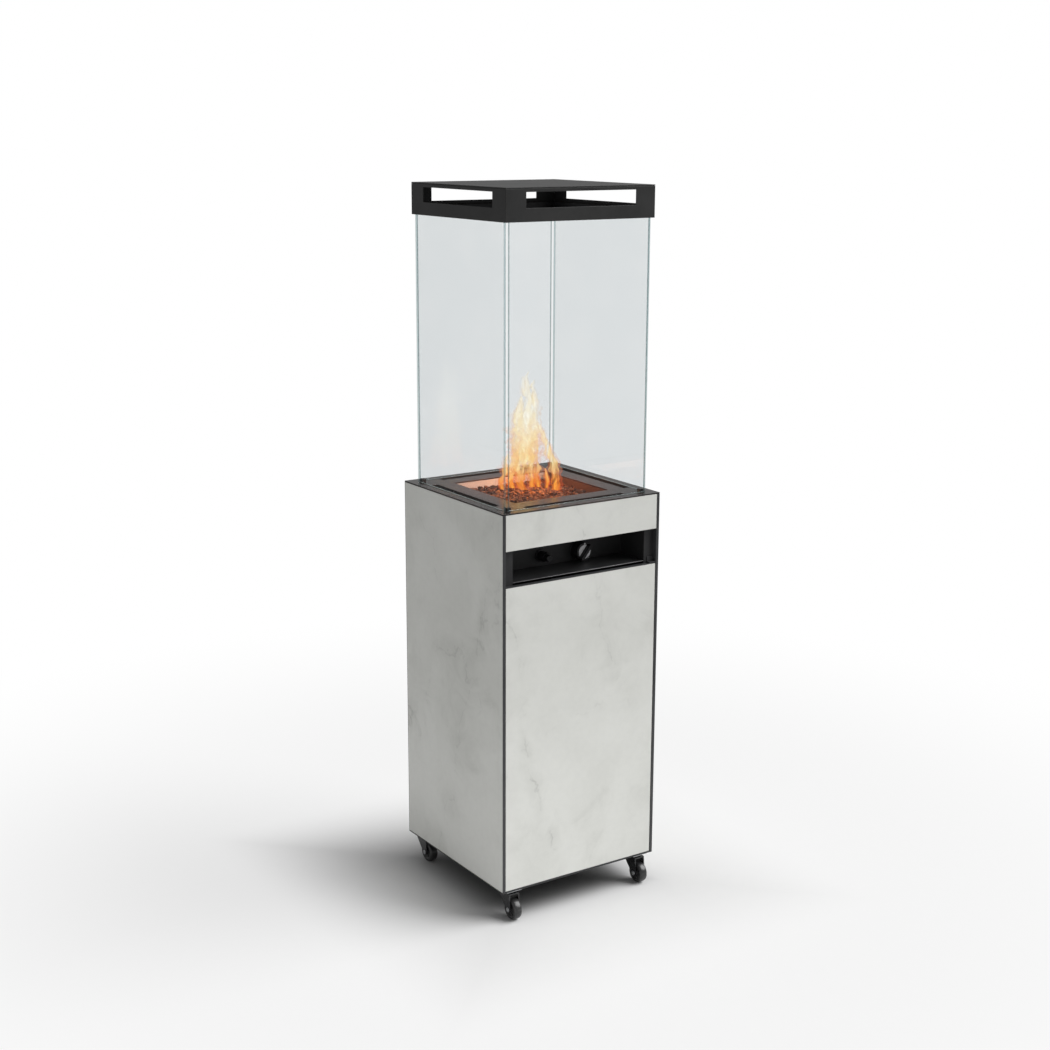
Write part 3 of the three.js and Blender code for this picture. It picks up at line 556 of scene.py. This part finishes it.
# Points and faces of one piece
class Mould:
    def __init__(self):
        self.points = []
        self.faces = []

    def join(self, points, faces):
        start = len(self.points)
        self.points += [tuple(point) for point in points]
        self.faces += [[start + corner for corner in face] for face in faces]

    def block(self, low, high, turn=None):
        points = [Vector((x, y, z)) for x in (low[0], high[0]) for y in (low[1], high[1])
                  for z in (low[2], high[2])]
        if turn:
            points = [turn @ point for point in points]
        faces = [(0, 1, 3, 2), (4, 6, 7, 5), (0, 4, 5, 1), (2, 3, 7, 6), (0, 2, 6, 4), (1, 5, 7, 3)]
        self.join(points, faces)

    # rings of equal length, joined in turn and, unless they close on themselves, capped at both ends
    def loft(self, rings, closed=False):
        count = len(rings[0])
        points = [point for ring in rings for point in ring]
        last = len(rings) if closed else len(rings) - 1
        faces = []
        for ring in range(last):
            here = ring * count
            there = (ring + 1) % len(rings) * count
            for side in range(count):
                after = (side + 1) % count
                faces.append((here + side, here + after, there + after, there + side))
        if not closed:
            faces.append(tuple(range(count))[::-1])
            faces.append(tuple(range(len(points) - count, len(points))))
        self.join(points, faces)

    # (radius, distance) pairs turned round an axis; flutes cut into the outside between two distances
    def turned(self, profile, centre, axis, sides, flutes=None):
        rings = []
        for step in range(sides):
            angle = 2 * math.pi * step / sides
            ring = []
            for radius, along in profile:
                if flutes and flutes["from"] <= along <= flutes["to"] and radius > flutes["over"]:
                    radius -= flutes["depth"] * (0.5 - 0.5 * math.cos(angle * flutes["count"]))
                first, second = radius * math.cos(angle), radius * math.sin(angle)
                spot = {"x": (along, first, second), "y": (second, along, first),
                        "z": (first, second, along)}
                ring.append(Vector(centre) + Vector(spot[axis]))
            rings.append(ring)
        self.loft(rings, True)

    def piece(self, name, finishes, body, slotName, replaced=(), sharp=35, width=0):
        mesh = bpy.data.meshes.new(name)
        mesh.from_pydata(self.points, [], self.faces)
        for finish in finishes:
            mesh.materials.append(finish)
        for polygon in mesh.polygons:
            polygon.use_smooth = True
        mesh.update()
        mesh.set_sharp_from_angle(angle=math.radians(sharp))
        made = bpy.data.objects.new(name, mesh)
        bpy.context.scene.collection.objects.link(made)
        if width:
            easeEdges(made, width)
        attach(made, body)
        if replaced:
            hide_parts(*replaced)
        return made


# Each pane has ground edges, darker than its faces
glassSetup = {"arris": 0.7}


def cutPanes():
    for side in ("front", "right", "rear", "left"):
        node = "glass_" + side
        low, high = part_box(node)
        thin = 0 if side in ("left", "right") else 1
        mould = Mould()
        mould.block(low, high)
        made = mould.piece("pane_" + side, [clearGlass, glassEdge], "root", "clear_glass", [node],
                           width=glassSetup["arris"])
        for polygon in made.data.polygons:
            polygon.material_index = 0 if abs(polygon.normal[thin]) > 0.9 else 1


cutPanes()
print("panes cut")


# Broken lava chips heaped in the pan, over a dark sheet of rubble; lengths in mm
lavaSetup = {"pitch": 10.5, "smallest": 5.2, "largest": 9.5, "seed": 11, "corner": 93, "margin": 4,
             "scatter": 0.4, "sunk": 8.5, "uneven": 1.5, "rubble": 5}
# Height over the lowest layer, size and share of the places filled
lavaLayers = [{"lift": 0.0, "size": 1.0, "filled": 1.0, "shift": 0.0},
              {"lift": 4.5, "size": 0.8, "filled": 0.55, "shift": 0.5}]


def chip(size, dice):
    bumps = Vector((dice.uniform(0, 50), dice.uniform(0, 50), dice.uniform(0, 50)))
    golden = (1 + math.sqrt(5)) / 2
    corners = [(-1, golden, 0), (1, golden, 0), (-1, -golden, 0), (1, -golden, 0), (0, -1, golden),
               (0, 1, golden), (0, -1, -golden), (0, 1, -golden), (golden, 0, -1), (golden, 0, 1),
               (-golden, 0, -1), (-golden, 0, 1)]
    faces = [(0, 11, 5), (0, 5, 1), (0, 1, 7), (0, 7, 10), (0, 10, 11), (1, 5, 9), (5, 11, 4), (11, 10, 2),
             (10, 7, 6), (7, 1, 8), (3, 9, 4), (3, 4, 2), (3, 2, 6), (3, 6, 8), (3, 8, 9), (4, 9, 5),
             (2, 4, 11), (6, 2, 10), (8, 6, 7), (9, 8, 1)]
    points = [Vector(corner).normalized() for corner in corners]
    middles = {}
    split = []

    def middle(first, second):
        key = tuple(sorted((first, second)))
        if key not in middles:
            middles[key] = len(points)
            points.append(((points[first] + points[second]) / 2).normalized())
        return middles[key]

    for a, b, c in faces:
        ab, bc, ca = middle(a, b), middle(b, c), middle(c, a)
        split += [(a, ab, ca), (b, bc, ab), (c, ca, bc), (ab, bc, ca)]
    squash = Vector((dice.uniform(0.8, 1.25), dice.uniform(0.6, 1.0), dice.uniform(0.45, 0.75)))
    turn = Matrix.Rotation(dice.uniform(0, 6.28), 3, "Z") @ Matrix.Rotation(dice.uniform(-0.6, 0.6), 3, "X")
    shaped = []
    for point in points:
        rough = 1 + 0.42 * noise.noise(point * 1.3 + bumps) + 0.16 * noise.noise(point * 3.1 + bumps)
        shaped.append(turn @ (point * rough * size * squash))
    return shaped, split


def heapLava(setup):
    dice = random.Random(setup["seed"])
    mould = Mould()
    reach = bedHigh.x - setup["margin"] * mm
    corner = setup["corner"] * mm
    step = setup["pitch"] * mm
    scatter, uneven = setup["scatter"], setup["uneven"] * mm
    count = int(reach / step)
    for layer in lavaLayers:
        level = bedHigh.z - setup["sunk"] * mm + layer["lift"] * mm
        for row in range(-count, count + 1):
            for column in range(-count, count + 1):
                x = (column + dice.uniform(-scatter, scatter) + layer["shift"]) * step
                y = (row + dice.uniform(-scatter, scatter) + layer["shift"]) * step
                size = dice.uniform(setup["smallest"], setup["largest"]) * mm * layer["size"]
                spare = dice.random()
                inside = max(abs(x), abs(y)) < reach - size * 0.6
                atPilot = x > corner and y > corner
                if not inside or atPilot or spare > layer["filled"]:
                    continue
                points, faces = chip(size, dice)
                spot = Vector((x, y, level + dice.uniform(-uneven, uneven)))
                mould.join([spot + point for point in points], faces)
    side = bedHigh.x
    top = bedLow.z + setup["rubble"] * mm
    mould.block((-side, -side, bedLow.z), (side, corner, top))
    mould.block((-side, corner, bedLow.z), (corner, side, top))
    mould.piece("lava_chips", [lava], "root", "lava_stone", ["lava_bed"], sharp=28)


heapLava(lavaSetup)
print("lava heaped")


# Tongues of flame: (sideways, height, half width) along each one, in mm from the middle of the bed
flameTongues = [
    {"back": 6, "line": [(-34, -4, 7), (-38, 26, 10), (-32, 60, 15), (-22, 100, 16), (-20, 136, 12),
                         (-24, 166, 9), (-16, 196, 6), (-14, 214, 1)]},
    {"back": -6, "line": [(-14, -6, 9), (-18, 34, 14), (-10, 74, 20), (-5, 112, 19), (-6, 146, 17),
                          (3, 180, 13), (1, 214, 10), (-4, 244, 5), (1, 272, 1)]},
    {"back": 10, "line": [(10, -2, 8), (6, 30, 10), (9, 70, 14), (7, 110, 14), (15, 140, 11),
                          (11, 172, 10), (17, 202, 7), (12, 232, 4), (15, 250, 1)]},
    {"back": -4, "line": [(68, -6, 6), (64, 18, 8), (62, 44, 9), (56, 68, 9), (48, 92, 8), (38, 116, 6),
                          (31, 136, 4), (27, 150, 1)]},
    {"back": 8, "line": [(44, -4, 4), (48, 12, 5), (44, 28, 4), (43, 42, 1)]},
    {"back": 0, "line": [(-6, 214, 3), (-12, 230, 5), (-9, 246, 4), (-14, 260, 1)]},
    {"back": -12, "line": [(-58, -4, 5), (-62, 16, 6), (-52, 38, 6), (-54, 60, 4), (-46, 80, 1)]},
    {"back": 14, "line": [(26, -4, 5), (22, 20, 6), (26, 40, 5), (21, 58, 1)]},
]
flameLayers = [("flame_veil", flameVeil, 1.6, 0.9), ("flame_body", flameBody, 1.0, 0.7),
               ("flame_core", flameCore, 0.5, 0.5)]
flameSetup = {"sideways": (0.833, -0.553, 0), "foot": (0.0, 0.012), "sink": 10, "flat": 0.72, "rings": 60,
              "sides": 20, "sway": 5, "stillBelow": 40, "flicker": 0.055, "finest": 0.6, "lobes": 1.3,
              "pinch": 0.15}


def spine(points, share):
    spot = share * (len(points) - 1)
    start = min(int(spot), len(points) - 2)
    t = spot - start
    chain = [points[max(start - 1, 0)], points[start], points[start + 1],
             points[min(start + 2, len(points) - 1)]]
    weights = [-t ** 3 + 2 * t ** 2 - t, 3 * t ** 3 - 5 * t ** 2 + 2, -3 * t ** 3 + 4 * t ** 2 + t,
               t ** 3 - t ** 2]
    return [sum(w * p[axis] for w, p in zip(weights, chain)) / 2 for axis in range(3)]


def raiseFlames(setup):
    sideways = Vector(setup["sideways"])
    depth = Vector((0, 0, 1)).cross(sideways)
    foot = Vector((*setup["foot"], plateTop - setup["sink"] * mm))
    for name, finish, swell, ripple in flameLayers:
        mould = Mould()
        for number, tongue in enumerate(flameTongues):
            rings = []
            for ring in range(setup["rings"]):
                share = ring / (setup["rings"] - 1)
                across, height, half = spine(tongue["line"], share)
                half = max(half, setup["finest"]) * swell
                lick = height * setup["flicker"]
                free = min(1, height / setup["stillBelow"])
                across += setup["sway"] * noise.noise(Vector((lick, number * 3.7, 8))) * free
                back = tongue["back"] + setup["sway"] * noise.noise(Vector((number * 7.1, lick, 3)))
                centre = foot + (sideways * across + depth * back + Vector((0, 0, height))) * mm
                around = []
                for side in range(setup["sides"]):
                    angle = 2 * math.pi * side / setup["sides"]
                    way = Vector((math.cos(angle), math.sin(angle)))
                    spot = Vector((*(way * setup["lobes"]), lick + number * 5))
                    puff = max(1 + ripple * 2 * noise.noise(spot), setup["pinch"])
                    reach = sideways * way.x + depth * setup["flat"] * way.y
                    around.append(centre + reach * half * puff * mm)
                rings.append(around)
            mould.loft(rings)
        made = mould.piece(name, [finish], "root", "clear_glass", sharp=180)
        made.visible_shadow = False


raiseFlames(flameSetup)
print("flames raised")


# (radius, distance) pairs in mm, with the distances from one face
def profileFrom(start, pairs):
    return [(radius * mm, start + along * mm) for radius, along in pairs]


# Control knob: fluted skirt, two bright half faces and a straight grip with a pointer dot; lengths in mm
knobSetup = {"flutes": 36, "fluteDepth": 0.5, "plainBack": 5.8, "faceRadius": 16.6, "seat": 1.2,
             "slit": 0.6, "rim": 1.8, "wall": 3.5, "dish": 10, "cavity": 13, "hub": 8.5, "hubIn": 1.5,
             "bore": 4.4, "gripHalf": 4.4, "gripShort": 0.8, "tilt": 38, "dot": 1.9, "tail": 2.8}
# Depth behind the knob's face and width of the grip there
gripRounding = [(4.0, 1.0), (1.5, 0.93), (0.4, 0.84), (0.0, 0.74)]
knobCentre = Vector(((knobLow.x + knobHigh.x) / 2, 0, (knobLow.z + knobHigh.z) / 2))
knobRadius = (knobHigh.x - knobLow.x) / 2
knobFace = knobLow.y
knobDish = knobFace + knobSetup["dish"] * mm
knobTurn = Matrix.Translation(knobCentre) @ Matrix.Rotation(math.radians(knobSetup["tilt"]), 4, "Y")


def makeKnobSkirt(setup):
    radius = knobRadius / mm
    inner = radius - setup["wall"]
    seat = setup["faceRadius"] + setup["slit"]
    hubEnd = knobHigh.y
    back = hubEnd - setup["hubIn"] * mm
    rim = setup["rim"]
    profile = profileFrom(knobDish, [(setup["bore"], setup["seat"]), (seat, setup["seat"]), (seat, 0),
                                     (radius - rim, 0), (radius - rim / 3, 0.5), (radius, rim)])
    profile += profileFrom(back, [(radius, -setup["plainBack"]), (radius, -4), (radius, 0), (inner, 0)])
    profile += profileFrom(knobFace, [(inner, setup["cavity"]), (setup["hub"], setup["cavity"])])
    profile += profileFrom(hubEnd, [(setup["hub"], 0), (setup["bore"], 0)])
    flutes = {"from": knobDish + (rim - 0.1) * mm, "to": back - (setup["plainBack"] - 0.1) * mm,
              "over": knobRadius - 0.1 * mm, "depth": setup["fluteDepth"] * mm, "count": setup["flutes"]}
    skirt = Mould()
    skirt.turned(profile, knobCentre, "y", 216, flutes)
    skirt.piece("knob_skirt", [knobPlastic], "knob", "black_plastic", ["control_knob"])


def makeKnobFaces(setup):
    edge = setup["faceRadius"] * mm
    start = (setup["gripHalf"] + setup["slit"]) * mm
    limit = math.acos(start / edge)
    middle = (start + edge) / 2
    plates = Mould()
    for side in (-1, 1):
        outline = []
        for step in range(33):
            angle = -limit + 2 * limit * step / 32
            outline.append((side * edge * math.cos(angle), edge * math.sin(angle)))
        rings = []
        # behind and in front of the dish, the front one drawn in a little
        for across, along, y in ((1, 1, 1.4), (1, 1, 0.1), (0.925, 0.9667, -0.4)):
            rings.append([knobTurn @ Vector((side * middle + (x - side * middle) * across,
                                             knobDish + y * mm, z * along)) for x, z in outline])
        plates.loft(rings if side > 0 else rings[::-1])
    plates.piece("knob_faces", [paintedChromeReflection], "knob", "bright_chrome", sharp=30)


def makeKnobGrip(setup):
    half = setup["gripHalf"] * mm
    cap = half * 0.6
    straight = knobRadius - setup["gripShort"] * mm - cap
    outline = []
    for end in (1, -1):
        for step in range(14):
            angle = math.pi * step / 13
            outline.append((end * half * math.cos(angle), end * (straight + cap * math.sin(angle))))
    rings = []
    for depth, shrink in [(setup["dish"] + 2, 1.0)] + gripRounding:
        rings.append([knobTurn @ Vector((x * shrink, knobFace + depth * mm, z * (0.94 + 0.06 * shrink)))
                      for x, z in outline])
    grip = Mould()
    grip.loft(rings)
    grip.piece("knob_grip", [knobPlastic], "knob", "black_plastic", sharp=40)


def makeKnobPointer(setup):
    size = setup["dot"] * mm
    middle = knobCentre.z + (setup["faceRadius"] * mm + knobRadius) / 2
    outline = []
    for step in range(-12, 13):
        angle = math.pi * step / 16
        outline.append((knobCentre.x + size * math.sin(angle), middle + size * math.cos(angle)))
    outline.append((knobCentre.x, middle - setup["tail"] * mm))
    dot = Mould()
    dot.loft([[Vector((x, y, z)) for x, z in outline] for y in (knobDish + 0.6 * mm, knobDish - 0.3 * mm)])
    dot.piece("knob_pointer", [pointerPaint], "knob", "bright_chrome")


makeKnobSkirt(knobSetup)
makeKnobFaces(knobSetup)
makeKnobGrip(knobSetup)
makeKnobPointer(knobSetup)


# Dark collar behind the knob; lengths in mm
collarSetup = {"bore": 10.5, "neck": 17, "lip": 0.5}


def makeKnobCollar(setup):
    low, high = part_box("knob_bezel")
    centre = ((low.x + high.x) / 2, 0, (low.z + high.z) / 2)
    bore, neck, lip = setup["bore"], setup["neck"], setup["lip"]
    edge = (high.x - low.x) / 2 / mm
    profile = profileFrom(low.y, [(bore, 0), (neck - lip, 0), (neck, lip)])
    profile += profileFrom(high.y, [(neck, -2.2), (edge - 1.4, -2.1), (edge - 0.4, -1.4), (edge, -0.6),
                                    (edge, 0), (bore, 0)])
    collar = Mould()
    collar.turned(profile, centre, "y", 96)
    collar.piece("knob_collar", [knobPlastic], "root", "black_plastic", ["knob_bezel"])


makeKnobCollar(collarSetup)


# Igniter: ribbed ring nut and a domed push button; lengths in mm
igniterSetup = {"bore": 8.6, "nut": 12, "flange": 15, "ribs": 28, "ribDepth": 0.6, "ribFrom": 4.5,
                "ribTo": 12, "cap": [(0.01, 0.6), (3.5, 0.4), (5.8, 0), (6.8, 0.2), (7.6, 0.9), (8, 2)]}


def makeIgniter(setup):
    centre = Vector(((bezelLow.x + bezelHigh.x) / 2, 0, (bezelLow.z + bezelHigh.z) / 2))
    front = bezelLow.y
    bore, wide, flange = setup["bore"], setup["nut"], setup["flange"]
    profile = profileFrom(front, [(bore, 0.4), (bore + 0.6, 0), (wide - 1.8, 0), (wide - 1.2, 0.6),
                                  (wide - 0.1, 3.5), (wide, setup["ribFrom"]), (wide, setup["ribTo"])])
    profile += profileFrom(bezelHigh.y, [(wide, -3.4), (flange - 0.4, -3), (flange, -2.4), (flange, 0),
                                         (bore, 0)])
    flutes = {"from": front + (setup["ribFrom"] - 0.1) * mm, "to": front + (setup["ribTo"] + 0.5) * mm,
              "over": (wide - 0.1) * mm, "depth": setup["ribDepth"] * mm, "count": setup["ribs"]}
    nut = Mould()
    nut.turned(profile, centre, "y", 168, flutes)
    nut.piece("igniter_ring", [knobPlastic], "root", "black_plastic", ["igniter_bezel"])
    cap = setup["cap"]
    profile = profileFrom(buttonLow.y, cap) + profileFrom(buttonHigh.y, [(cap[-1][0], 0), (cap[0][0], 0)])
    push = Mould()
    push.turned(profile, centre, "y", 72)
    push.piece("igniter_cap", [knobPlastic], "igniter", "black_plastic", ["igniter_button"])


makeIgniter(igniterSetup)


# Rolled hem along the front of the niche floor, painted pale as a painted highlight on the lit edge; lengths
# in mm
hemSetup = {"drop": 2.2, "rise": 0.5, "out": 1.6, "gap": 0.3, "sheet": 1.5, "inset": 2.2, "taper": 0.6,
            "end": 0.75, "sides": 16}


def rollHem(setup):
    low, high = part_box("control_box")
    reach = high.x - setup["inset"] * mm
    taper = setup["taper"] * mm
    edge = low.y - setup["gap"] * mm
    lift = (setup["sheet"] + setup["rise"] - setup["drop"] / 2) * mm
    middle = Vector((0, edge - setup["out"] * mm / 2, low.z + lift))
    rings = []
    end = setup["end"]
    for x, shrink in ((-reach, end), (-reach + taper, 1), (reach - taper, 1), (reach, end)):
        ring = []
        for step in range(setup["sides"]):
            angle = -2 * math.pi * step / setup["sides"]
            ring.append(middle + Vector((x, math.cos(angle) * setup["out"] * mm / 2 * shrink,
                                         math.sin(angle) * setup["drop"] * mm / 2 * shrink)))
        rings.append(ring)
    hem = Mould()
    hem.loft(rings)
    hem.piece("niche_hem", [hemHighlight], "root", "edge_steel")


rollHem(hemSetup)
print("controls made")


# Casters: a crowned tyre on a webbed core, and an axle bolt with a nut; lengths in mm
casterSetup = {
    "tread": 25,
    "half": [(4.3, 10.6), (7.6, 10.6), (8, 10.2), (8, 7.8), (15.8, 7.8), (16.6, 9.6), (17.2, 10), (20.5, 10),
             (22.6, 9.4), (24, 8), (24.7, 5.6), (25, 2.8)],
    "ribs": 5,
    "rib": {"thick": 2.2, "from": 7, "to": 16.8, "inner": 7, "outer": 9.2},
    "bolt": [(2.4, -16), (3, -15.3), (3.8, -15.3), (3.8, 15.3), (2.6, 16.2), (0.01, 16.2), (0.01, -16)],
    "nut": {"inner": 3.6, "outer": 6, "ends": ((14.1, 16), (-15.8, -14.1))},
}


def makeTyre(setup, name, centre):
    wheel = Mould()
    half = profileFrom(0, setup["half"])
    wheel.turned(half + [(radius, -along) for radius, along in half[::-1]], centre, "x", 96)
    rib = {key: value * mm for key, value in setup["rib"].items()}
    for number in range(setup["ribs"]):
        angle = 2 * math.pi * number / setup["ribs"]
        turn = Matrix.Translation(centre) @ Matrix.Rotation(angle, 4, "X")
        thick = rib["thick"] / 2
        for near, far in ((-rib["outer"], -rib["inner"]), (rib["inner"], rib["outer"])):
            wheel.block((near, -thick, rib["from"]), (far, thick, rib["to"]), turn)
    wheel.piece("tyre_" + name, [casterRubber], "wheel_" + name, "caster_rubber", ["caster_wheel_" + name],
                width=0.25)


def makeAxle(setup, name, centre):
    bolt = Mould()
    bolt.turned(profileFrom(0, setup["bolt"]), centre, "x", 32)
    nut = setup["nut"]
    for start, end in nut["ends"]:
        corners = [(nut["inner"], start), (nut["outer"], start), (nut["outer"], end), (nut["inner"], end)]
        bolt.turned(profileFrom(0, corners), centre, "x", 6)
    bolt.piece("axle_bolt_" + name, [zinc], "swivel_" + name, "zinc_steel", ["caster_axle_" + name],
               width=0.3)


def makeCasters(setup):
    for name in casterNames:
        low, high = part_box("caster_wheel_" + name)
        centre = Vector(((low.x + high.x) / 2, (low.y + high.y) / 2, setup["tread"] * mm))
        makeTyre(setup, name, centre)
        makeAxle(setup, name, centre)


makeCasters(casterSetup)
print("casters made")
